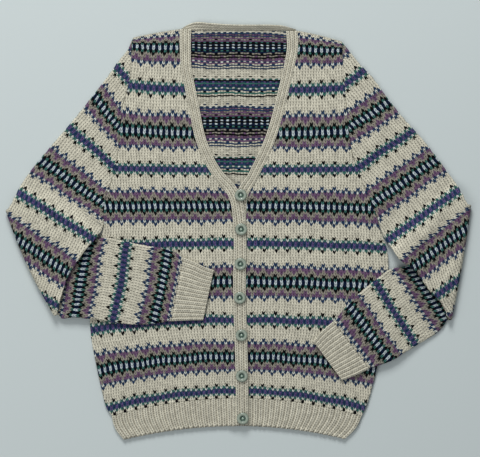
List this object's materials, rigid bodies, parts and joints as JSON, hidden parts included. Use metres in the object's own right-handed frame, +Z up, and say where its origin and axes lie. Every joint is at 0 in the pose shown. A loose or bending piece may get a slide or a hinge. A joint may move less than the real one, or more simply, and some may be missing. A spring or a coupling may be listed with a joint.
{
  "type": "fair isle cardigan",
  "caption": "Hand-knitted fair isle cardigan laid flat face up, V-neck with buttoned band, ribbed hem and cuffs, sleeves folded over the fronts.",
  "frame": {"origin": "middle of the underside of the laid garment's bounding box, on the surface it lies on", "axes": "+X towards the viewer's right across the garment, +Y from the hem to the neck, +Z up off the surface, with the front of the garment facing up"},
  "size_m": [0.6972, 0.625, 0.0177],
  "materials": {
    "fair_isle_knit": "stranded wool knit, matt, slightly fuzzy",
    "ribbing": "plain wool rib, matt",
    "button": "polished translucent resin"
  },
  "bodies": {
    "root": {"back": "fair_isle_knit", "right_front": "fair_isle_knit", "left_front": "fair_isle_knit", "right_sleeve": "fair_isle_knit", "left_sleeve": "fair_isle_knit", "back_hem_rib": "ribbing", "right_front_rib": "ribbing", "left_front_rib": "ribbing", "right_cuff": "ribbing", "left_cuff": "ribbing", "right_band": "ribbing", "left_band": "ribbing", "neck_band": "ribbing", "button_1": "button", "button_2": "button", "button_3": "button", "button_4": "button", "button_5": "button", "button_6": "button", "button_7": "button"}
  },
  "joints": []
}
